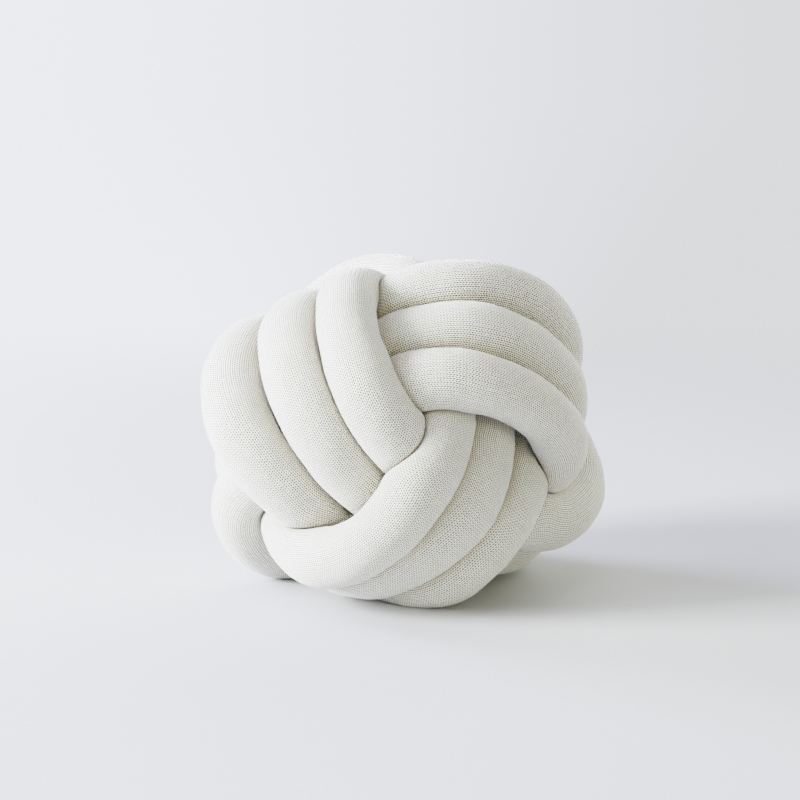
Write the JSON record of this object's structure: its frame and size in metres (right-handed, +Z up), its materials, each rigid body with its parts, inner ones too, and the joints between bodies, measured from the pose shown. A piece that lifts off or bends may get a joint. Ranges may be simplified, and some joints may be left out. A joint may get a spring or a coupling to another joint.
{
  "type": "knot cushion",
  "caption": "Round knot cushion: one long filled tube of knit, wound as a ball knot whose bands cross over and under each other.",
  "frame": {"origin": "on the rest surface, below the middle of the cushion's box", "axes": "+Z up; the corner where the three bands meet in front faces -Y; +X to the right as seen from the front"},
  "size_m": [0.297, 0.3112, 0.2434],
  "materials": {
    "knit_cover": "matt off-white jersey knit over soft filling"
  },
  "bodies": {
    "root": {"knot_strand": "knit_cover"}
  },
  "joints": []
}
